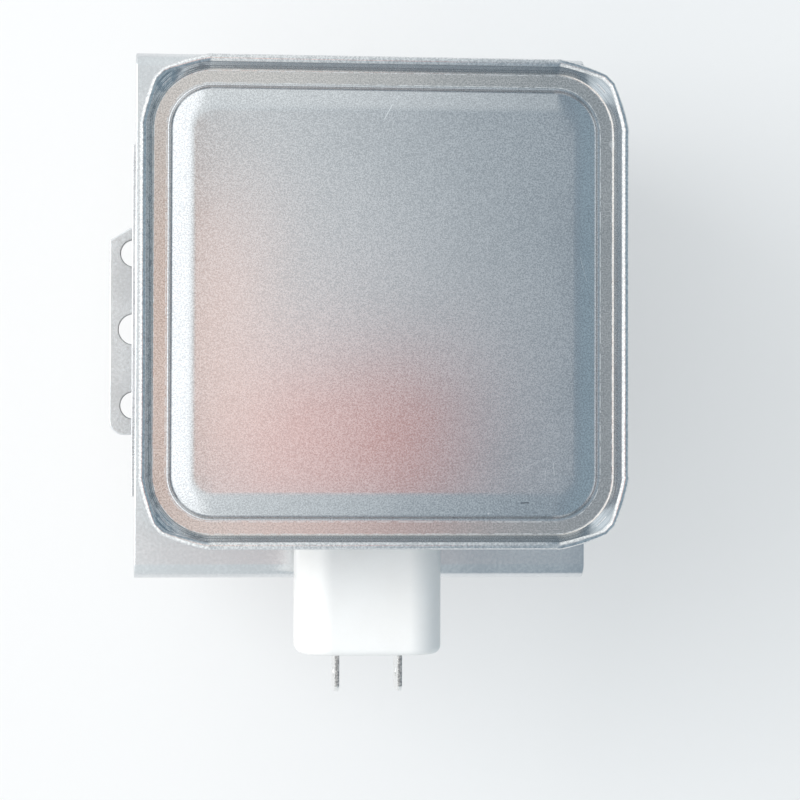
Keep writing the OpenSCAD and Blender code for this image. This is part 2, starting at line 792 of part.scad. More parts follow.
// Pressed lid: a raised panel in a channel, folded over the box's rim on four sides and open at the corners
module filter_lid() {
    dish = concat(
        [[0, panel_z]],
        arc([panel_flat, panel_z - panel_edge_r], panel_edge_r, 90, 90 - panel_bend),
        [slope_start]
    );
    seam_end = roll_centre + roll_r * [sin(seam_angle), -cos(seam_angle)];
    seam = concat(
        dish,
        arc(roll_centre, roll_r, 90 + seam_angle, seam_angle - 90, 2 * arc_steps),
        [seam_end - seam_return * slope_way]
    );
    half = lid_w / 2;
    far = half - corner_blunt;
    near = half - corner_slant;
    open_corner = concat(
        dish,
        [slope_end, [norm([far - corner, near - corner]) + over, slope_end.y + corner_rise]]
    );
    color("silver") {
        translate([-corner, -corner, panel_z - lid_t]) cube([2 * corner, 2 * corner, lid_t]);
        along_sides(corner, corner) polygon(sheet(seam, lid_t));
        intersection() {
            round_corners(corner, corner) polygon(sheet(open_corner, lid_t));
            translate([0, 0, channel_z - channel_depth]) linear_extrude(2 * channel_depth + over) polygon([
                for (q = [[1, 1], [-1, 1], [-1, -1], [1, -1]])
                    for (p = q.x * q.y > 0
                        ? [[half, corner], [near, far], [far, near], [corner, half]]
                        : [[corner, half], [far, near], [near, far], [half, corner]])
                        [q.x * p.x, q.y * p.y]
            ]);
        }
    }
}

// Ends of the choke wire at the capacitor's rod and on the cathode lead, with the turns between them
function choke_path(side) =
    let (
        r = (core_d + choke_wire_d) / 2 + free_gap,
        z = yoke_h + choke_z,
        steps = 16,
        run = choke_turns * choke_pitch,
        tip = [side * terminal_span / 2, -rod_end + braze_gap, connector_height],
        seat = [side * lead_offset, 0, lead_top + braze_gap]
    )
    concat(
        [tip, tip + [0, 2 * choke_wire_d, 0]],
        [
            for (i = [0 : steps * choke_turns])
                let (a = -90 + 360 * i / steps)
                [side * (choke_x + r * cos(a)), run * (i / (steps * choke_turns) - 0.5), z + r * sin(a)]
        ],
        [
            [side * (choke_x - r), run / 2 + choke_wire_d, z + r + choke_wire_d],
            seat + [0, 2 * choke_wire_d, 4 * choke_wire_d],
            seat + [0, 0, 3 * choke_wire_d],
            seat
        ]
    );

module choke_coil(side) {
    color("sienna") wire(choke_path(side), choke_wire_d, 8, [1, 0, 0]);
}

module choke_core(side) {
    color("dimgray") translate([side * choke_x, core_l / 2, yoke_h + choke_z]) rotate([90, 0, 0])
        cylinder(d = core_d, h = core_l);
}

// Metal plate that earths the capacitor on the wall of the box
module capacitor_flange() {
    color("silver") along_connector(box_half, flange_t) difference() {
        rounded_rectangle(flange_w, shroud_h, shroud_r);
        for (x = [-1, 1]) {
            translate([x * terminal_span / 2, 0]) circle(d = capacitor_bore);
            translate([x * flange_rivet_span / 2, 0]) circle(d = rivet_d + 2 * braze_gap);
        }
    }
}

module flange_rivets() {
    color("gainsboro") for (x = [-1, 1])
        translate([x * flange_rivet_span / 2, -box_half + box_t, connector_height]) rotate([90, 0, 0])
            rivet(box_t + flange_t);
}

// Ceramic block with a bore for each rod
module capacitor_block() {
    color("tan") along_connector(flange_y, capacitor_l) difference() {
        rounded_rectangle(cavity_w - 2 * free_gap, cavity_h - 2 * free_gap, cavity_r - free_gap);
        for (x = [-1, 1]) translate([x * terminal_span / 2, 0]) circle(d = capacitor_bore);
    }
}

// Insulating cup inside the box, closed round the two rods
module inner_case() {
    color("white") difference() {
        along_connector(case_end, case_l) rounded_rectangle(cavity_w, cavity_h, cavity_r);
        along_connector(case_end + case_wall, case_l)
            rounded_rectangle(cavity_w - 2 * case_wall, cavity_h - 2 * case_wall, cavity_r - case_wall);
        along_connector(case_end - over, case_wall + 2 * over) for (x = [-1, 1])
            translate([x * terminal_span / 2, 0]) circle(d = rod_d + 2 * braze_gap);
    }
}

// Moulded white cup round the capacitor, with a slot for each tab in its rounded end
module connector_shroud() {
    length = shroud_end - flange_y;
    half_w = shroud_w / 2 - shroud_r;
    half_h = shroud_h / 2 - shroud_r;
    section = concat(
        [[0, 0], [shroud_r, 0]],
        arc([shroud_r - shroud_edge_r, length - shroud_edge_r], shroud_edge_r, 0, 90),
        [[0, length]]
    );
    color("white") difference() {
        translate([0, -flange_y, connector_height]) rotate([90, 0, 0]) {
            translate([-half_w, -half_h, 0]) cube([2 * half_w, 2 * half_h, length]);
            along_sides(half_w, half_h) polygon(section);
            round_corners(half_w, half_h) polygon(section);
        }
        along_connector(flange_y - over, length - shroud_wall + over)
            rounded_rectangle(cavity_w, cavity_h, cavity_r);
        along_connector(shroud_end - shroud_wall - over, shroud_wall + 2 * over) for (x = [-1, 1])
            translate([x * terminal_span / 2, 0])
                square([tab_t + 2 * braze_gap, tab_w + 2 * braze_gap], center = true);
    }
}

// Flat tab on a rod that runs through the capacitor into the filter box
module terminal(side) {
    tip = tab_w / 2 - tab_bevel;
    color("lightgray") translate([side * terminal_span / 2, 0, connector_height]) {
        difference() {
            rotate([90, 0, -90]) linear_extrude(tab_t, center = true) polygon([
                [tab_root, -tab_w / 2],
                [tab_end - tab_bevel, -tab_w / 2],
                [tab_end, -tip],
                [tab_end, tip],
                [tab_end - tab_bevel, tab_w / 2],
                [tab_root, tab_w / 2]
            ]);
            translate([0, -tab_end + tab_hole_y, 0]) rotate([0, 90, 0])
                cylinder(d = tab_hole_d, h = tab_t + 2 * over, center = true);
        }
        translate([0, -rod_end, 0]) rotate([90, 0, 0])
            cylinder(d = rod_d, h = tab_root + rod_d / 2 - rod_end);
    }
}

mounting_plate();
yoke_frame();
output_magnet();
input_magnet();
anode_shell();
anode_vanes();
strap_rings();
output_pole();
input_pole();
cathode_filament();
lower_end_hat();
upper_end_hat();
centre_lead();
side_lead();
output_sleeve();
output_ceramic();
antenna_lead();
exhaust_tube();
antenna_cap();
rf_gasket();
input_sleeve();
stem_ceramic();
stem_eyelets();
cooling_fin(1);  // cooling_fin_1
cooling_fin(2);  // cooling_fin_2
cooling_fin(3);  // cooling_fin_3
cooling_fin(4);  // cooling_fin_4
cooling_fin(5);  // cooling_fin_5
filter_box();
box_rivets();
filter_lid();
choke_coil(-1);  // left_choke_coil
choke_coil(1);  // right_choke_coil
choke_core(-1);  // left_choke_core
choke_core(1);  // right_choke_core
capacitor_flange();
flange_rivets();
capacitor_block();
inner_case();
connector_shroud();
terminal(-1);  // left_terminal
terminal(1);  // right_terminal
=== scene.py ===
import math

import bmesh
import bpy
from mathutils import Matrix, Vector


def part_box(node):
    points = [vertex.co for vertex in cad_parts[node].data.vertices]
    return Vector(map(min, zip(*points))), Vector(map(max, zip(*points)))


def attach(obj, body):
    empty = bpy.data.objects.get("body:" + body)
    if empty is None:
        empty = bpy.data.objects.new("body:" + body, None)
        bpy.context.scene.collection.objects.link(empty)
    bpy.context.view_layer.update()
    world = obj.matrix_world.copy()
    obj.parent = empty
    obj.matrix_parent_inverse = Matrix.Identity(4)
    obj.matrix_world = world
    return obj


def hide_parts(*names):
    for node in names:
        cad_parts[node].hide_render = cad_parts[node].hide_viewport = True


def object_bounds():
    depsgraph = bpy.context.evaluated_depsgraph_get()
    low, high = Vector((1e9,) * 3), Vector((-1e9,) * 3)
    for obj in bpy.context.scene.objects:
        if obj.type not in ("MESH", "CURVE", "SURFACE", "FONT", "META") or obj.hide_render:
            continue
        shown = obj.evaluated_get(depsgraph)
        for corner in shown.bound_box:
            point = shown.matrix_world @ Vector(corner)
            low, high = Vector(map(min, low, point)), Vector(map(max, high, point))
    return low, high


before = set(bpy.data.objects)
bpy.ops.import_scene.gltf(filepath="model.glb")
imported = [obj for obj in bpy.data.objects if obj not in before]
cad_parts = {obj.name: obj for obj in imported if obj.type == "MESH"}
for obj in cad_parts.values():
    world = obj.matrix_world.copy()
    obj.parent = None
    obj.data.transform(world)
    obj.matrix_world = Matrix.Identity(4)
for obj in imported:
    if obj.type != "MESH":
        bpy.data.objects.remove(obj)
cad_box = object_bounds()


# Mounting plate
# The tube's flat foot, punched from zinc-coated steel sheet, with an ear on each side and three bolt holes
# in each ear. The yoke is fixed down on its inner face, and its outer face goes against the waveguide.
MM = 0.001
SHEET_EDGE = 0.22 * MM
ZINC_DARK = (0.70, 0.715, 0.73)
ZINC_LIGHT = (0.80, 0.815, 0.825)
NOISE_SPAN = (0.3, 0.7)
NOISE_CORE = (0.35, 0.65)
SMOOTH_BELOW = math.radians(50)


def fill(shader_node, sockets):
    """Gives sockets their values, and links the ones that are given a Value."""
    for name, given in sockets.items():
        socket = shader_node.inputs[name]
        if isinstance(given, Value):
            socket.id_data.links.new(given.socket, socket)
        elif socket.type == "RGBA" and len(given) == 3:
            socket.default_value = (*given, 1)
        else:
            socket.default_value = given


class Value:
    """A socket of a finish. An expression on values adds its Math nodes."""

    def __init__(self, socket):
        self.socket = socket

    def node(self, kind, settings, sockets, output=0):
        """Adds a node of that kind, with its settings first and then the values or links of its sockets."""
        added = self.socket.id_data.nodes.new("ShaderNode" + kind)
        for name, setting in settings.items():
            setattr(added, name, setting)
        fill(added, sockets)
        return Value(added.outputs[output])

    def maths(self, operation, *given):
        return self.node("Math", {"operation": operation}, dict(enumerate(given)))

    def __add__(self, other):
        return self.maths("ADD", self, other)

    def __sub__(self, other):
        return self.maths("SUBTRACT", self, other)

    def __rsub__(self, other):
        return self.maths("SUBTRACT", other, self)

    def __mul__(self, other):
        return self.maths("MULTIPLY", self, other)

    def __pow__(self, other):
        return self.maths("POWER", self, other)

    def __abs__(self):
        return self.maths("ABSOLUTE", self)

    __radd__ = __add__
    __rmul__ = __mul__

    def larger(self, other):
        return self.maths("MAXIMUM", self, other)

    def axis(self, name):
        """The X, Y or Z of a place."""
        return self.node("SeparateXYZ", {}, {0: self}, name)

    def noise(self, size, detail=2.0, stretch=(1, 1, 1)):
        """Cloudy noise with patches of about that size, drawn out along an axis by its stretch."""
        shrunk = [1 / (size * s) for s in stretch]
        place = self.node("Mapping", {}, {"Vector": self, "Scale": shrunk})
        return place.node("TexNoise", {}, {"Vector": place, "Scale": 1.0, "Detail": detail}, "Fac")

    def ramp(self, low, high, start=0.0, end=1.0):
        """Goes smoothly from start to end while the value goes from low to high."""
        ends = {"Value": self, "From Min": low, "From Max": high, "To Min": start, "To Max": end}
        return self.node("MapRange", {"interpolation_type": "SMOOTHSTEP"}, ends)

    def tint(self, first, second):
        """The first colour where the value is 0 and the second where it is 1."""
        return self.node("Mix", {"data_type": "RGBA"}, {0: self, 6: first, 7: second}, 2)

    def relief(self, depth, strength=1.0):
        """Bumps of that depth."""
        return self.node("Bump", {}, {"Height": self, "Distance": depth, "Strength": strength})


def new_finish(name):
    """A material, its shader, and the place on the piece that its patterns are drawn at."""
    material = bpy.data.materials.new(name)
    material.use_nodes = True
    nodes = material.node_tree.nodes
    place = Value(nodes.new("ShaderNodeTexCoord").outputs["Object"])
    return material, nodes["Principled BSDF"], place


def zinc_coat(name, grain_size, grain_depth):
    """Hot-dipped zinc: cool grey, with a fine grain and duller clouds a centimetre or two wide."""
    material, shader, place = new_finish(name)
    grain = place.noise(grain_size, 3)
    cloud = place.noise(15 * MM)
    shade = grain * 0.5 + cloud * 0.5
    fill(shader, {
        "Base Color": shade.ramp(0.36, 0.66).tint(ZINC_DARK, ZINC_LIGHT),
        "Metallic": 1.0,
        "Roughness": (cloud * 0.6 + grain * 0.4).ramp(*NOISE_SPAN, 0.2, 0.28),
        "Normal": grain.relief(grain_depth, 0.2),
    })
    return material


def activate(piece):
    """Selects one piece alone."""
    bpy.ops.object.select_all(action="DESELECT")
    piece.select_set(True)
    bpy.context.view_layer.objects.active = piece


def apply_modifier(piece, kind, **settings):
    """Adds a modifier to the active piece and applies it."""
    modifier = piece.modifiers.new(kind.lower(), kind)
    for name, setting in settings.items():
        setattr(modifier, name, setting)
    bpy.ops.object.modifier_apply(modifier=modifier.name)


def level_flats(piece):
    """Shades the rounds smoothly and keeps the flats beside them flat."""
    bpy.ops.object.shade_smooth_by_angle(angle=SMOOTH_BELOW)
    apply_modifier(piece, "WEIGHTED_NORMAL", keep_sharp=True)


def finished(node, finish, edge):
    """A piece in place of a CAD node: its triangles joined, and its sharp edges broken by a small round."""
    piece = bpy.data.objects.new(node + "_finished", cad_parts[node].data.copy())
    bpy.context.scene.collection.objects.link(piece)
    activate(piece)
    bpy.ops.mesh.customdata_custom_splitnormals_clear()
    bpy.ops.object.mode_set(mode="EDIT")
    bpy.ops.mesh.select_all(action="SELECT")
    bpy.ops.mesh.remove_doubles(threshold=0.002 * MM)
    bpy.ops.mesh.dissolve_limited(angle_limit=math.radians(0.5))
    bpy.ops.object.mode_set(mode="OBJECT")
    apply_modifier(
        piece, "BEVEL", width=edge, segments=2, limit_method="ANGLE", angle_limit=math.radians(40),
        use_clamp_overlap=False, miter_outer="MITER_ARC",
    )
    level_flats(piece)
    piece.data.materials.clear()
    piece.data.materials.append(finish)
    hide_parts(node)
    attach(piece, "root")


zinc_plate = zinc_coat("zinc_plate", 0.5 * MM, 0.012 * MM)
finished("mounting_plate", zinc_plate, SHEET_EDGE)


# Wire gasket
# A soft ring knitted from fine brass-coloured wire, pushed over the output sleeve and against the plate. It
# is squeezed by the waveguide and closes the gap that microwaves would leak through.
WIRE_D = 0.32 * MM
LOOPS = 96
LOOP_LEAN = math.radians(33)
LOOP_START_R = 0.5
ROUND_POWER = 0.62
WIRE_LIGHT = (0.62, 0.54, 0.38)
WIRE_DARK = (0.30, 0.25, 0.16)


def knitted_wire():
    """Dull brass wire, with darker tarnished patches."""
    material, shader, place = new_finish("knitted_wire")
    tarnish = place.noise(1.6 * MM, 3)
    fill(shader, {
        "Base Color": tarnish.ramp(*NOISE_CORE).tint(WIRE_LIGHT, WIRE_DARK),
        "Metallic": 1.0,
        "Roughness": tarnish.ramp(*NOISE_SPAN, 0.28, 0.5),
    })
    return material


gasket_low, gasket_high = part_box("rf_gasket")
gasket_bore = min(math.hypot(v.co.x, v.co.y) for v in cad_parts["rf_gasket"].data.vertices)
ring_width = gasket_high.x - gasket_bore
ring_height = gasket_high.z - gasket_low.z
ring_middle = Vector(((gasket_high.x + gasket_bore) / 2, 0, (gasket_low.z + gasket_high.z) / 2))

bpy.ops.object.select_all(action="DESELECT")
bpy.ops.mesh.primitive_torus_add(
    major_segments=28, minor_segments=6, major_radius=LOOP_START_R, minor_radius=WIRE_D / 2,
)
gasket = bpy.context.object
gasket.name = "gasket_wire"
bpy.ops.object.mode_set(mode="EDIT")
mesh = bmesh.from_edit_mesh(gasket.data)
for vert in mesh.verts:
    along = Vector((vert.co.x, vert.co.y, 0)).normalized()
    wall = Vector((vert.co.x, vert.co.y, 0)).length - LOOP_START_R
    loop_x = math.copysign(abs(along.x) ** ROUND_POWER, along.x) * (ring_width - WIRE_D) / 2
    loop_z = math.copysign(abs(along.y) ** ROUND_POWER, along.y) * (ring_height - WIRE_D) / 2
    vert.co = Vector((loop_x + along.x * wall, vert.co.z, loop_z + along.y * wall)) + ring_middle
bmesh.update_edit_mesh(gasket.data)
bpy.ops.mesh.select_all(action="SELECT")
bpy.ops.mesh.duplicate()
bpy.ops.transform.rotate(value=LOOP_LEAN, orient_axis="X", center_override=ring_middle)
bpy.ops.mesh.select_all(action="INVERT")
bpy.ops.transform.rotate(value=-LOOP_LEAN, orient_axis="X", center_override=ring_middle)
bpy.ops.mesh.select_all(action="SELECT")
full_turn_but_one = math.tau * (LOOPS - 1) / LOOPS
bpy.ops.mesh.spin(steps=LOOPS - 1, dupli=True, angle=full_turn_but_one, center=(0, 0, 0), axis=(0, 0, 1))
bpy.ops.mesh.select_all(action="SELECT")
bpy.ops.mesh.normals_make_consistent(inside=False)
bpy.ops.object.mode_set(mode="OBJECT")
bpy.ops.object.shade_smooth()
gasket.data.materials.append(knitted_wire())
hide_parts("rf_gasket")
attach(gasket, "root")


# Anode
# A thick copper cylinder with copper vanes brazed inside it, joined in turn by thin strap rings. It is the
# tube's vacuum wall, and the cooling fins are pressed on it.
COPPER_BRIGHT = (0.78, 0.40, 0.26)
COPPER_DULL = (0.50, 0.22, 0.13)


def paint(nodes, finish):
    """Gives CAD nodes that are shown as they are their finish."""
    for node in nodes:
        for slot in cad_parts[node].material_slots:
            slot.material = finish


def bare_copper():
    """Copper that has been brazed in a furnace: bright, with darker clouds and turning lines."""
    material, shader, place = new_finish("bare_copper")
    cloud = place.noise(6 * MM, 4)
    lines = place.noise(0.3 * MM, 2, (40, 40, 1))
    fill(shader, {
        "Base Color": cloud.ramp(0.4, 0.7).tint(COPPER_BRIGHT, COPPER_DULL),
        "Metallic": 1.0,
        "Roughness": (cloud * 0.5 + lines * 0.5).ramp(*NOISE_SPAN, 0.24, 0.46),
        "Normal": lines.relief(0.01 * MM, 0.4),
    })
    return material


copper = bare_copper()
finished("anode_shell", copper, 0.4 * MM)
paint(["anode_vanes", "strap_rings", "antenna_lead", "exhaust_tube"], copper)


# Cathode and pole pieces
# The filament with its end hats and two leads stands on the axis, of grey refractory metal. Two pressed iron
# poles close the anode's ends and lead the magnets' field to the filament. All of it is inside the vacuum.
REFRACTORY = (0.36, 0.36, 0.38)
REFRACTORY_DARK = (0.20, 0.20, 0.22)
IRON = (0.46, 0.46, 0.47)
IRON_DARK = (0.31, 0.31, 0.32)


def grey_metal(name, light, dark, smooth, rough):
    """A plain metal with faint clouds and fine marks of its pressing."""
    material, shader, place = new_finish(name)
    cloud = place.noise(5 * MM, 3)
    marks = place.noise(0.22 * MM, 2)
    fill(shader, {
        "Base Color": (cloud * 0.6 + marks * 0.4).ramp(*NOISE_CORE).tint(dark, light),
        "Metallic": 1.0,
        "Roughness": cloud.ramp(*NOISE_SPAN, smooth, rough),
        "Normal": marks.relief(0.006 * MM, 0.4),
    })
    return material


refractory = grey_metal("refractory_metal", REFRACTORY, REFRACTORY_DARK, 0.4, 0.6)
paint(["cathode_filament", "lower_end_hat", "upper_end_hat", "centre_lead", "side_lead"], refractory)
pressed_iron = grey_metal("pressed_iron", IRON, IRON_DARK, 0.35, 0.55)
paint(["output_pole", "input_pole"], pressed_iron)


# Output end
# A nickel-plated sleeve brazed to the pole carries a ring of pink alumina, which lets the microwaves out. A
# drawn nickel-plated cap is pressed over the pinched-off exhaust tube at its end.
NICKEL = (0.68, 0.67, 0.645)
NICKEL_DARK = (0.50, 0.495, 0.48)
PINK = (0.78, 0.50, 0.49)
PINK_PALE = (0.84, 0.60, 0.585)


def fired_alumina(name, first, second):
    """Matt fired ceramic with a fine powdery speckle."""
    material, shader, place = new_finish(name)
    cloud = place.noise(4 * MM, 3)
    speckle = place.noise(0.18 * MM, 2)
    fill(shader, {
        "Base Color": (cloud * 0.5 + speckle * 0.5).ramp(*NOISE_CORE).tint(first, second),
        "Roughness": cloud.ramp(*NOISE_SPAN, 0.5, 0.65),
        "Normal": speckle.relief(0.012 * MM, 0.5),
    })
    return material


nickel = grey_metal("satin_nickel", NICKEL, NICKEL_DARK, 0.2, 0.34)
finished("output_sleeve", nickel, 0.15 * MM)
finished("output_ceramic", fired_alumina("pink_alumina", PINK, PINK_PALE), 0.3 * MM)
finished("antenna_cap", nickel, 0.12 * MM)


# Magnets
# Two rings of dark sintered ferrite, one over each pole, ground flat on their faces and left as fired round
# their edges. The yoke clamps them.
FERRITE = (0.045, 0.045, 0.05)
FERRITE_WORN = (0.085, 0.084, 0.086)


def sintered_ferrite():
    """Dark grey ceramic, matt, with paler rubbed specks."""
    material, shader, place = new_finish("sintered_ferrite")
    speckle = place.noise(0.3 * MM, 3)
    rubbed = place.noise(7 * MM, 4)
    fill(shader, {
        "Base Color": (speckle * 0.4 + rubbed * 0.6).ramp(0.42, 0.68).tint(FERRITE, FERRITE_WORN),
        "Roughness": rubbed.ramp(*NOISE_SPAN, 0.5, 0.72),
        "Normal": speckle.relief(0.02 * MM, 0.5),
    })
    return material


ferrite = sintered_ferrite()
for magnet in ("output_magnet", "input_magnet"):
    finished(magnet, ferrite, 0.5 * MM)
paint(["left_choke_core", "right_choke_core"], ferrite)


# Cooling fins
# Five thin aluminium sheets pressed on the anode one over another. Their front and back edges are turned
# over so that they space each other and touch the yoke's walls, and a fan blows between them.
ALUMINIUM = (0.80, 0.805, 0.81)
ALUMINIUM_DULL = (0.66, 0.665, 0.68)
FIN_EDGE = 0.12 * MM


def rolled_aluminium():
    """Mill-finish sheet with roll lines along X."""
    material, shader, place = new_finish("rolled_aluminium")
    lines = place.noise(0.25 * MM, 3, (60, 1, 1))
    cloud = place.noise(9 * MM, 3)
    fill(shader, {
        "Base Color": (lines * 0.5 + cloud * 0.5).ramp(0.36, 0.64).tint(ALUMINIUM_DULL, ALUMINIUM),
        "Metallic": 1.0,
        "Roughness": (lines * 0.6 + cloud * 0.4).ramp(*NOISE_SPAN, 0.24, 0.42),
        "Normal": lines.relief(0.008 * MM, 0.5),
    })
    return material


aluminium = rolled_aluminium()
for count in range(1, 6):
    finished("cooling_fin_%d" % count, aluminium, FIN_EDGE)


# Yoke
# One strip of zinc-coated steel bent into a frame round the magnets and fins, open on its left and right. It
# closes the magnets' field and carries the filter box on its top.
finished("yoke_frame", zinc_plate, SHEET_EDGE)


# Input end and filter
# The leads leave the tube through a nickel sleeve with a white alumina stem. In the filter box two choke
# coils of enamelled wire on ferrite rods join them to a block capacitor of alumina in a white moulded case.
ENAMEL = (0.42, 0.13, 0.05)
ENAMEL_DARK = (0.24, 0.06, 0.025)
WHITE_CERAMIC = (0.80, 0.78, 0.73)
WHITE_CERAMIC_PALE = (0.87, 0.85, 0.81)
PLASTIC = (0.93, 0.905, 0.88)
PLASTIC_PALE = (0.96, 0.94, 0.92)


def wire_enamel():
    """Brown lacquer over copper wire."""
    material, shader, place = new_finish("wire_enamel")
    shade = place.noise(1.2 * MM, 3)
    fill(shader, {
        "Base Color": shade.ramp(*NOISE_CORE).tint(ENAMEL_DARK, ENAMEL),
        "Metallic": 0.6,
        "Roughness": shade.ramp(*NOISE_SPAN, 0.22, 0.38),
        "Coat Weight": 0.6,
    })
    return material


def moulded_plastic():
    """Satin white moulding with the faint grain of its mould."""
    material, shader, place = new_finish("moulded_plastic")
    grain = place.noise(0.18 * MM, 2)
    cloud = place.noise(8 * MM, 3)
    fill(shader, {
        "Base Color": (cloud * 0.7 + grain * 0.3).ramp(*NOISE_CORE).tint(PLASTIC, PLASTIC_PALE),
        "Roughness": (cloud * 0.5 + grain * 0.5).ramp(*NOISE_SPAN, 0.3, 0.44),
        "Normal": grain.relief(0.008 * MM, 0.35),
    })
    return material


plastic = moulded_plastic()
white_alumina = fired_alumina("white_alumina", WHITE_CERAMIC, WHITE_CERAMIC_PALE)
paint(["input_sleeve", "stem_eyelets"], nickel)
paint(["stem_ceramic", "capacitor_block"], white_alumina)
paint(["left_choke_coil", "right_choke_coil"], wire_enamel())
paint(["inner_case"], plastic)


# Filter box
# A pan folded and drawn from thin zinc-coated sheet, riveted on the yoke, which keeps the filter's radio
# noise in. Its rim is what the lid is crimped round.
THIN_EDGE = 0.12 * MM
zinc_pan = zinc_coat("zinc_pan", 0.4 * MM, 0.012 * MM)
finished("filter_box", zinc_pan, THIN_EDGE)
finished("box_rivets", nickel, 0.3 * MM)


# Connector
# A white moulded shroud stands out of the box's front wall round two push-on tabs of tinned brass. Its steel
# flange is riveted to the wall.
TIN = (0.93, 0.93, 0.92)
TIN_DARK = (0.82, 0.82, 0.81)
SHEARED = (0.64, 0.63, 0.61)
SHEARED_DARK = (0.38, 0.375, 0.37)
SHEARED_W = 0.15 * MM
tab_low, tab_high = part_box("left_terminal")


def tinned_tab():
    """Bright tin plate on the faces, and bare speckled brass where the tab's edges were sheared."""
    material, shader, place = new_finish("tinned_brass")
    cloud = place.noise(2 * MM, 3)
    speckle = place.noise(0.35 * MM, 2)
    from_edge = (tab_high.z - tab_low.z) / 2 - abs(place.axis("Z") - (tab_low.z + tab_high.z) / 2)
    sheared = from_edge.ramp(SHEARED_W, SHEARED_W / 2)
    faces = (cloud * 0.6 + speckle * 0.4).ramp(*NOISE_CORE).tint(TIN_DARK, TIN)
    edges = speckle.ramp(0.4, 0.6).tint(SHEARED_DARK, SHEARED)
    fill(shader, {
        "Base Color": sheared.tint(faces, edges),
        "Metallic": 1.0,
        "Roughness": cloud.ramp(*NOISE_SPAN, 0.2, 0.36),
        "Normal": speckle.relief(0.008 * MM, 0.4),
    })
    return material


finished("capacitor_flange", zinc_pan, SHEET_EDGE)
finished("flange_rivets", nickel, 0.3 * MM)
finished("connector_shroud", plastic, 0.3 * MM)
tinned_brass = tinned_tab()
for side in ("left", "right"):
    finished(side + "_terminal", tinned_brass, 0.1 * MM)


# Filter lid
# A square lid drawn from thin zinc-coated sheet: a raised panel, a channel round it, and a wall that rises
# to a rim. The rim is rolled over the box's rim and crimped, and pulls in towards the four blunt corners.
lid_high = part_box("filter_lid")[1]
PANEL_ROUND = 27.85 * MM
CHANNEL_DEPTH = 1.95 * MM
PANEL_SHOULDER = 10.0 * MM
PANEL_FLANK = 1.6 * MM
SHOULDER_TURN = math.radians(20)
FLANK_TURN = math.radians(65)
CREASE_FILLET = 0.35 * MM
PANEL_EDGE = 7.3 * MM
RISE = math.radians(58)
CREST_R = 0.7 * MM
ROLL_R = 0.65 * MM
RETURN_L = 1.5 * MM
LID_T = 0.5 * MM
RIM_STEP = 0.15 * MM
CORNER_SLANT = 2.4 * MM
CORNER_BLUNT = 3.7 * MM
CORNER_BULGE = 0.3 * MM
CORNER_TOP = 0.1 * MM
TIP_ROLL = 0.8
TAPER = math.radians(20)
SIDE_STEPS = 14
CORNER_STEPS = 44
HEM_WEAR = 0.007 * MM
PANEL_DARK = (0.59, 0.60, 0.615)
PANEL_LIGHT = (0.84, 0.85, 0.86)
# Painted reflection: the channel's zinc is given warmer colours than the panel, for the tan it mirrors
CHANNEL_REFLECTION_DARK = (0.59, 0.57, 0.55)
CHANNEL_REFLECTION_LIGHT = (0.85, 0.81, 0.775)
# Painted shade: the wall's zinc is given darker, bluer colours than the flats, for the dim side it mirrors
WALL_SHADE_DARK = (0.40, 0.44, 0.475)
WALL_SHADE_LIGHT = (0.54, 0.585, 0.62)
HEM_DARK = (0.66, 0.67, 0.68)
HEM_LIGHT = (0.92, 0.92, 0.92)
# Pale, less metallic zinc: wear at the scratches and scored lines, painted highlight along the creases
WEAR_AND_HIGHLIGHT = (0.93, 0.94, 0.94)
CREASE_HIGHLIGHT_W = 0.05 * MM
SCRATCHES = (
    ((1.0, 32.0), (-0.35, 29.5), 0.11, 0.8), ((2.1, 33.5), (1.65, 32.8), 0.10, 0.7),
    ((27.35, -25.7), (27.5, -27.7), 0.08, 0.5), ((26.0, -26.8), (26.0, -29.1), 0.08, 0.4),
    ((21.0, -27.25), (27.3, -24.7), 0.08, 0.3), ((16.75, -34.0), (16.95, -34.05), 0.2, 1.0),
    ((37.3, 26.6), (37.3, 25.9), 0.6, 0.6), ((31.7, 7.7), (32.9, 3.6), 0.06, 0.4),
)
# Painted shade: a dark spot where the lid is dented
DENT_SHADE_SPOT = ((22.0, -32.3), (23.4, -32.2), 0.16, 0.75)
DENT_SHADE = (0.16, 0.18, 0.20)
QUARTER_TURN = math.pi / 2
LINE_W = 0.16 * MM
CREASE_HIGHLIGHTS = (-0.2 * MM, 0.25 * MM)
# Painted light: from this X the scored lines grow stronger towards the left
LEFT_SHEEN_FROM = (-20 * MM, -34 * MM)


def arc(centre, radius, start, end, steps):
    """Points of an arc in the lid's section, by angles in radians."""
    turns = [start + (end - start) * i / steps for i in range(steps + 1)]
    return [(centre[0] + radius * math.cos(t), centre[1] + radius * math.sin(t)) for t in turns]


def select_verts(piece, test):
    """Selects the vertices of the piece in edit mode for which the test holds."""
    bpy.ops.mesh.select_all(action="DESELECT")
    edited = bmesh.from_edit_mesh(piece.data)
    for vert in edited.verts:
        if test(vert.co):
            vert.select_set(True)
    edited.select_flush(True)
    bmesh.update_edit_mesh(piece.data)


def outward(place):
    """How far a point is outside the square of the panel's four corner centres."""
    return math.hypot(max(abs(place.x) - PANEL_ROUND, 0), max(abs(place.y) - PANEL_ROUND, 0))


def outline_radius(turn):
    """The rim's radius round a corner centre: slanted with a slight bulge, and blunt at the corner's tip."""
    turn = min(turn, QUARTER_TURN - turn)
    start = Vector((reach + RIM_STEP, 0))
    tip = Vector((reach - CORNER_SLANT, reach - CORNER_BLUNT))
    if turn > math.atan2(tip.y, tip.x):
        return (tip.x + tip.y) / (math.cos(turn) + math.sin(turn))
    along = tip - start
    share = turn / math.atan2(tip.y, tip.x)
    straight = start.x * along.y / (math.cos(turn) * along.y - math.sin(turn) * along.x)
    return straight + CORNER_BULGE * 4 * share * (1 - share)


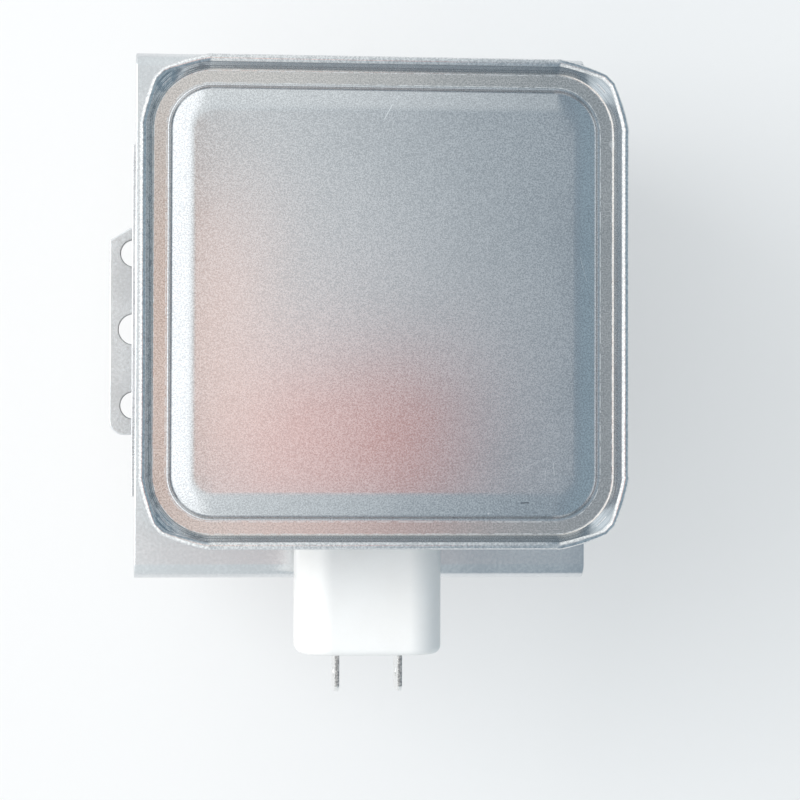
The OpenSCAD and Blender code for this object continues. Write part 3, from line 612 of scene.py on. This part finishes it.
def roll_taper(turn):
    """The roll's size round a corner: full along the slant, and smaller towards the tip."""
    turn = min(turn, QUARTER_TURN - turn)
    tip_turn = math.atan2(reach - CORNER_BLUNT, reach - CORNER_SLANT)
    share = min(max((turn - tip_turn + TAPER) / TAPER, 0), 1)
    return 1 + (TIP_ROLL - 1) * share * share * (3 - 2 * share)


def select_column(piece, turn):
    """Selects the rim's vertices at one turn round the first corner."""

    def in_column(place):
        local = Vector((place.x - PANEL_ROUND, place.y - PANEL_ROUND))
        return local.length > rim_low and abs(math.atan2(local.y, local.x) - turn) < turn_step / 4

    select_verts(piece, in_column)


def mark(place, start, end, width, strength):
    """A straight mark on the lid between two points, all in millimetres."""
    length = math.dist(start, end)
    lean = [(b - a) / length for a, b in zip(start, end)]
    right = place.axis("X") - start[0] * MM
    back = place.axis("Y") - start[1] * MM
    along = right * lean[0] + back * lean[1]
    aside = abs(right * lean[1] - back * lean[0])
    wide = width * MM
    inside = along.ramp(-wide, wide) * along.ramp(length * MM + wide, length * MM - wide)
    return inside * aside.ramp(wide, wide / 3) * strength


def lid_coat():
    """The lid's zinc: fine grain on the flats, drawn lines on the wall, a rubbed hem, painted highlights
    along the creases, painted shade on the wall, a painted warm reflection in the channel, scored lines
    painted brighter towards the left as painted light, and a painted dent shade.
    """
    material, shader, place = new_finish("lid_zinc")
    beyond = [(abs(place.axis(name)) - PANEL_ROUND).larger(0) for name in ("X", "Y")]
    out = (beyond[0] * beyond[0] + beyond[1] * beyond[1]) ** 0.5
    up_wall = out.ramp(slope_foot, slope_foot + 0.2 * MM)
    hem = place.axis("Z").ramp(slope_end[1] - 0.06 * MM, slope_end[1] + 0.08 * MM) * up_wall
    wall = up_wall * (1 - hem)
    grain = place.noise(0.22 * MM, 2)
    cloud = place.noise(16 * MM, 2)
    sparkle = place.noise(0.35 * MM, 3)
    patches = place.noise(1.1 * MM, 3)
    lines = out.node("TexNoise", {"noise_dimensions": "1D"}, {"W": out, "Scale": 1 / LINE_W}, "Fac")
    shade = (grain * 0.9 + cloud * 0.1).ramp(0.34, 0.66)
    in_channel = out.ramp(PANEL_EDGE, PANEL_EDGE + 0.3 * MM)
    panel_colour = shade.tint(PANEL_DARK, PANEL_LIGHT)
    # Painted reflection: the channel is tinted warmer than the panel
    flat_colour = in_channel.tint(panel_colour, shade.tint(CHANNEL_REFLECTION_DARK, CHANNEL_REFLECTION_LIGHT))
    # Painted shade: the wall is coloured darker and bluer than the flats, with its drawn lines
    wall_shade_colour = lines.ramp(*NOISE_CORE).tint(WALL_SHADE_DARK, WALL_SHADE_LIGHT)
    hem_colour = sparkle.ramp(*NOISE_CORE).tint(HEM_DARK, HEM_LIGHT)
    colour = hem.tint(wall.tint(flat_colour, wall_shade_colour), hem_colour)
    rubbed = 0
    # Painted highlights: pale lines along the wall's foot and the panel's crease
    for crease in (slope_foot + CREASE_HIGHLIGHTS[0], PANEL_EDGE + CREASE_HIGHLIGHTS[1]):
        rubbed = abs(out - crease).ramp(CREASE_HIGHLIGHT_W * 0.5, CREASE_HIGHLIGHT_W * 1.6, 1.0, 0.0) + rubbed
    rubbed = rubbed * patches.ramp(0.35, 0.6)
    # Scored lines on the wall, made stronger towards the left as painted light from that side
    scored_and_left_sheen = lines.ramp(0.46, 0.6) * wall * place.axis("X").ramp(*LEFT_SHEEN_FROM, 0.1, 1.0)
    rubbed = rubbed.larger(scored_and_left_sheen * patches.ramp(0.3, 0.55) * 0.9)
    for scratch in SCRATCHES:
        rubbed = rubbed.larger(mark(place, *scratch))
    # Painted shade: a dark spot where the lid is dented
    colour = mark(place, *DENT_SHADE_SPOT).tint(colour, DENT_SHADE)
    relief = grain * (1 - hem) * 0.4 + sparkle * hem * 2 + lines * wall * 0.15
    fill(shader, {
        # The pale colour and lower metal are wear at scratches and scored lines, and painted highlight and
        # painted light elsewhere
        "Base Color": rubbed.tint(colour, WEAR_AND_HIGHLIGHT),
        "Metallic": 1 - rubbed * 0.8,
        "Roughness": (grain * 0.7 + cloud * 0.3).ramp(*NOISE_SPAN, 0.15, 0.22) + wall * 0.08,
        "Normal": relief.relief(0.01 * MM, 0.4),
    })
    return material


reach = lid_high.x - PANEL_ROUND
channel_z = lid_high.z - CHANNEL_DEPTH
crease_centre = (PANEL_EDGE, channel_z + CREASE_FILLET)
flank_reach = CREASE_FILLET + PANEL_FLANK
flank_centre = (
    crease_centre[0] - flank_reach * math.sin(FLANK_TURN),
    crease_centre[1] - flank_reach * math.cos(FLANK_TURN),
)
shoulder_reach = PANEL_SHOULDER - PANEL_FLANK
shoulder_centre = (
    flank_centre[0] - shoulder_reach * math.sin(SHOULDER_TURN),
    flank_centre[1] - shoulder_reach * math.cos(SHOULDER_TURN),
)
panel_z = shoulder_centre[1] + PANEL_SHOULDER
roll_centre = (reach - ROLL_R, lid_high.z - ROLL_R)
crest_centre = (roll_centre[0], lid_high.z - CREST_R)
slope_end = (crest_centre[0] - CREST_R * math.sin(RISE), crest_centre[1] + CREST_R * math.cos(RISE))
slope_foot = slope_end[0] - (slope_end[1] - channel_z) / math.tan(RISE)
foot_centre = (slope_foot - CREASE_FILLET * math.tan(RISE / 2), channel_z + CREASE_FILLET)
section = [(0, panel_z)]
section += arc(shoulder_centre, PANEL_SHOULDER, QUARTER_TURN, QUARTER_TURN - SHOULDER_TURN, 7)
section += arc(flank_centre, PANEL_FLANK, QUARTER_TURN - SHOULDER_TURN, QUARTER_TURN - FLANK_TURN, 7)[1:]
section += arc(crease_centre, CREASE_FILLET, math.pi * 1.5 - FLANK_TURN, math.pi * 1.5, 6)[1:]
section += arc(foot_centre, CREASE_FILLET, math.pi * 1.5, math.pi * 1.5 + RISE, 6)
section += arc(crest_centre, CREST_R, QUARTER_TURN + RISE, QUARTER_TURN, 8)
section += arc(roll_centre, ROLL_R, QUARTER_TURN, RISE - QUARTER_TURN, 10)[1:]
section += [(section[-1][0] - RETURN_L * math.cos(RISE), section[-1][1] - RETURN_L * math.sin(RISE))]

bpy.ops.object.select_all(action="DESELECT")
bpy.ops.mesh.primitive_plane_add(size=MM)
lid = bpy.context.object
lid.name = "lid_sheet"
bpy.ops.object.mode_set(mode="EDIT")
bpy.ops.mesh.select_mode(type="VERT")
bpy.ops.mesh.merge(type="CENTER")
bpy.ops.transform.translate(value=(PANEL_ROUND, 0, panel_z))
for here, there in zip(section, section[1:]):
    step = (there[0] - here[0], 0, there[1] - here[1])
    bpy.ops.mesh.extrude_region_move(TRANSFORM_OT_translate={"value": step})
bpy.ops.mesh.select_all(action="SELECT")
for step in range(SIDE_STEPS):
    bpy.ops.mesh.extrude_region_move(TRANSFORM_OT_translate={"value": (0, PANEL_ROUND / SIDE_STEPS, 0)})
corner_centre = Vector((PANEL_ROUND, PANEL_ROUND, 0))
bpy.ops.mesh.spin(steps=CORNER_STEPS, angle=-QUARTER_TURN, center=corner_centre, axis=(0, 0, 1))
for step in range(SIDE_STEPS):
    bpy.ops.mesh.extrude_region_move(TRANSFORM_OT_translate={"value": (-PANEL_ROUND / SIDE_STEPS, 0, 0)})
bpy.ops.mesh.select_all(action="SELECT")
bpy.ops.mesh.remove_doubles(threshold=0.001 * MM)
turn_step = QUARTER_TURN / CORNER_STEPS
rim_low = slope_end[0] - 0.01 * MM
for column in range(1, CORNER_STEPS):
    turn = column * turn_step
    ray = Vector((math.cos(turn), math.sin(turn), 0))
    edge = outline_radius(turn)
    taper = roll_taper(turn)
    centre = corner_centre + ray * roll_centre[0] + Vector((0, 0, roll_centre[1]))
    top = lid_high.z - CORNER_TOP * (1 - taper)
    select_column(lid, turn)
    bpy.ops.transform.resize(value=(taper, taper, taper), center_override=centre)
    moved = ray * (edge - taper * ROLL_R - roll_centre[0])
    moved.z = top - taper * ROLL_R - roll_centre[1]
    bpy.ops.transform.translate(value=moved)
bpy.ops.object.mode_set(mode="OBJECT")
apply_modifier(lid, "MIRROR", use_axis=(True, True, False), merge_threshold=0.002 * MM)
bpy.ops.object.mode_set(mode="EDIT")
select_verts(lid, lambda place: outward(place) < 0.001 * MM)
bpy.ops.mesh.edge_face_add()
select_verts(lid, lambda place: outward(place) > rim_low)
bpy.ops.transform.vertex_random(offset=HEM_WEAR, normal=1.0, seed=4)
bpy.ops.mesh.select_all(action="SELECT")
bpy.ops.mesh.normals_make_consistent(inside=False)
bpy.ops.object.mode_set(mode="OBJECT")
panel_face = max(lid.data.polygons, key=lambda face: face.area)
if panel_face.normal.z < 0:
    lid.data.flip_normals()
apply_modifier(lid, "SOLIDIFY", thickness=LID_T, offset=-1)
level_flats(lid)
lid.data.materials.append(lid_coat())
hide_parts("filter_lid")
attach(lid, "root")


# Studio
# A pale floor under the tube that keeps its shadow, a sky that is brighter on the left, and one soft lamp
# there. The lid mirrors the sky and three warm cards over it. The camera looks down on the lid.
FLOOR_WHITE = (0.83, 0.83, 0.825)
FLOOR_PALE = (0.84, 0.84, 0.84)
FLOOR_GLOW = 0.32
# Painted light: the paper glows brighter on the left, where the lamp stands
FLOOR_PAINTED_LIGHT_LEFT = 0.55
FLOOR_PAINTED_LIGHT_X = (-0.06, 0.08)
BRIGHT_SKY = (1.34, 1.38, 1.40)
MIDDLE_SKY = (0.885, 0.925, 0.935)
DIM_SKY = (0.28, 0.35, 0.41)
DARK_SKY = (0.30, 0.39, 0.455)
BRIGHT_X = (-0.08, -0.22)
MIDDLE_X = (0.26, 0.02)
DIM_X = (0.6, 0.28)
HORIZON_Z = (0.1, 0.45)
DIMMER_FRONT_Y = (-0.7, 0.0)
BEHIND_Y = (0.06, 0.17)
FAR_BEHIND_Y = (0.2, 0.4)
FRONT_Y = (-0.035, -0.07)
FRONT_X = (0.02, 0.14)
CARD_LIT = (1.42, 1.08, 0.97)
CARD_MIDDLE = (1.22, 0.84, 0.78)
CARD_SHADED = (0.72, 0.32, 0.29)
CARD_TAN = (0.42, 0.24, 0.16)
CARD_Z = 450 * MM
LAMP_PLACE = Vector((-0.5, 0.12, 0.62))
LAMP_SIZE = 0.4
LAMP_POWER = 2.7
LENS = 92.66
SENSOR_W = 36
CAMERA_SHIFT = 0.12
CAMERA_PLACE = Vector((-38.31, -21.40, 422.21)) * MM
CAMERA_TURN = (0.960, -4.365, 0.189)


def floor_finish():
    """Paper that shows nearly white to the camera and in reflections, with painted light brighter on its
    left, and lets views from below through.
    """
    material, shader, place = new_finish("studio_paper")
    grain = place.noise(2 * MM, 2)
    fill(shader, {"Base Color": grain.tint(FLOOR_WHITE, FLOOR_PALE), "Roughness": 0.9})
    seen = Value(material.node_tree.nodes.new("ShaderNodeLightPath").outputs["Is Camera Ray"])
    path = seen.socket.node
    for ray in ("Is Glossy Ray", "Is Transmission Ray"):
        seen = seen.larger(Value(path.outputs[ray]))
    # Painted light: the paper glows brighter to the camera on the left, where the lamp stands
    glow = place.axis("X").ramp(*FLOOR_PAINTED_LIGHT_X, FLOOR_PAINTED_LIGHT_LEFT, FLOOR_GLOW)
    white = seen.node("Emission", {}, {"Color": (1, 1, 1), "Strength": 1.0})
    paper = seen.node("MixShader", {}, {0: seen * glow, 1: Value(shader.outputs[0]), 2: white})
    under = seen.node("NewGeometry", {}, {}, "Backfacing")
    clear = seen.node("BsdfTransparent", {}, {})
    fill(material.node_tree.nodes["Material Output"], {
        "Surface": seen.node("MixShader", {}, {0: under, 1: paper, 2: clear}),
    })
    return material


bpy.ops.object.select_all(action="DESELECT")
bpy.ops.mesh.primitive_plane_add(size=6)
floor = bpy.context.object
floor.name = "floor"
bpy.ops.object.mode_set(mode="EDIT")
bpy.ops.transform.translate(value=(0, 0, cad_box[0].z))
bpy.ops.object.mode_set(mode="OBJECT")
floor.data.materials.append(floor_finish())

studio = bpy.data.worlds.new("studio")
studio.use_nodes = True
bpy.context.scene.world = studio
sky_nodes = studio.node_tree.nodes
look = Value(sky_nodes.new("ShaderNodeTexCoord").outputs["Generated"])
seen_sky = Value(sky_nodes.new("ShaderNodeLightPath").outputs["Is Camera Ray"])
sky_x = look.axis("X")
sky_y = look.axis("Y")
behind = sky_y.ramp(*BEHIND_Y) - sky_y.ramp(*FAR_BEHIND_Y) * 1.6
in_front = sky_y.ramp(*FRONT_Y) * sky_x.ramp(*FRONT_X)
to_right = sky_x + behind * 0.035 + in_front * 0.06
dark_to_dim = to_right.ramp(*DIM_X).tint(DARK_SKY, DIM_SKY)
dim_to_middle = to_right.ramp(*MIDDLE_X).tint(dark_to_dim, MIDDLE_SKY)
above_horizon = look.axis("Z").ramp(*HORIZON_Z) * sky_y.ramp(*DIMMER_FRONT_Y, 0.6, 1.0)
lit_sky = (sky_x.ramp(*BRIGHT_X) * above_horizon).tint(dim_to_middle, BRIGHT_SKY)
fill(sky_nodes["Background"], {"Color": seen_sky.tint(lit_sky, (1, 1, 1)), "Strength": 1.0})

middle = (cad_box[0] + cad_box[1]) / 2
key_lamp = bpy.data.objects.new("key_lamp", bpy.data.lights.new("key_lamp", "AREA"))
bpy.context.scene.collection.objects.link(key_lamp)
key_lamp.data.size = LAMP_SIZE
key_lamp.data.energy = LAMP_POWER
key_lamp.location = LAMP_PLACE
key_lamp.rotation_euler = (middle - LAMP_PLACE).to_track_quat("-Z", "Y").to_euler()
key_lamp.visible_camera = False
# The sky alone lights the lid, because the lamp would glint in its wall
left_to_sky = bpy.data.collections.new("left_to_sky")
left_to_sky.objects.link(lid)
left_to_sky.collection_objects[0].light_linking.link_state = "EXCLUDE"
key_lamp.light_linking.receiver_collection = left_to_sky


def card_glow(name, left_colour, right_colour, low, high, soft):
    """The glow of a warm card: another colour at its right end, and fading out at its edges."""
    material, shader, place = new_finish(name)
    colour = place.axis("X").ramp(low[0], high[0]).tint(left_colour, right_colour)
    inside = 1
    for side, start, end in (("X", low[0], high[0]), ("Y", low[1], high[1])):
        along = place.axis(side)
        inside = along.ramp(start, start + soft) * along.ramp(end, end - soft) * inside
    fill(material.node_tree.nodes["Material Output"], {"Surface": colour.node("MixShader", {}, {
        0: inside,
        1: colour.node("BsdfTransparent", {}, {}),
        2: colour.node("Emission", {}, {"Color": colour, "Strength": 1.0}),
    })})
    return material


for name, colours, low, high, soft in (
    ("front_card", (CARD_MIDDLE, CARD_SHADED), (-26 * MM, -56 * MM), (70 * MM, 6 * MM), 11 * MM),
    ("middle_card", (CARD_LIT, CARD_LIT), (-30 * MM, -30 * MM), (0 * MM, 62 * MM), 8 * MM),
    ("left_card", (CARD_TAN, CARD_TAN), (-45 * MM, -60 * MM), (-24 * MM, 92 * MM), 2 * MM),
):
    bpy.ops.object.select_all(action="DESELECT")
    bpy.ops.mesh.primitive_plane_add(size=1)
    card = bpy.context.object
    card.name = name
    bpy.ops.object.mode_set(mode="EDIT")
    bpy.ops.transform.resize(value=(high[0] - low[0], high[1] - low[1], 1))
    bpy.ops.transform.translate(value=((low[0] + high[0]) / 2, (low[1] + high[1]) / 2, CARD_Z))
    bpy.ops.object.mode_set(mode="OBJECT")
    card.data.materials.append(card_glow(name, *colours, low, high, soft))
    card.visible_camera = False
    card.visible_shadow = False
    card.visible_diffuse = False
    card.visible_transmission = False

camera = bpy.data.objects.new("camera", bpy.data.cameras.new("camera"))
bpy.context.scene.collection.objects.link(camera)
camera.data.sensor_width = SENSOR_W
camera.data.lens = LENS
camera.data.shift_x = CAMERA_SHIFT
camera.data.clip_start = 10 * MM
camera.location = CAMERA_PLACE
camera.rotation_euler = [math.radians(angle) for angle in CAMERA_TURN]
bpy.context.scene.camera = camera
bpy.context.scene.view_settings.view_transform = "Standard"
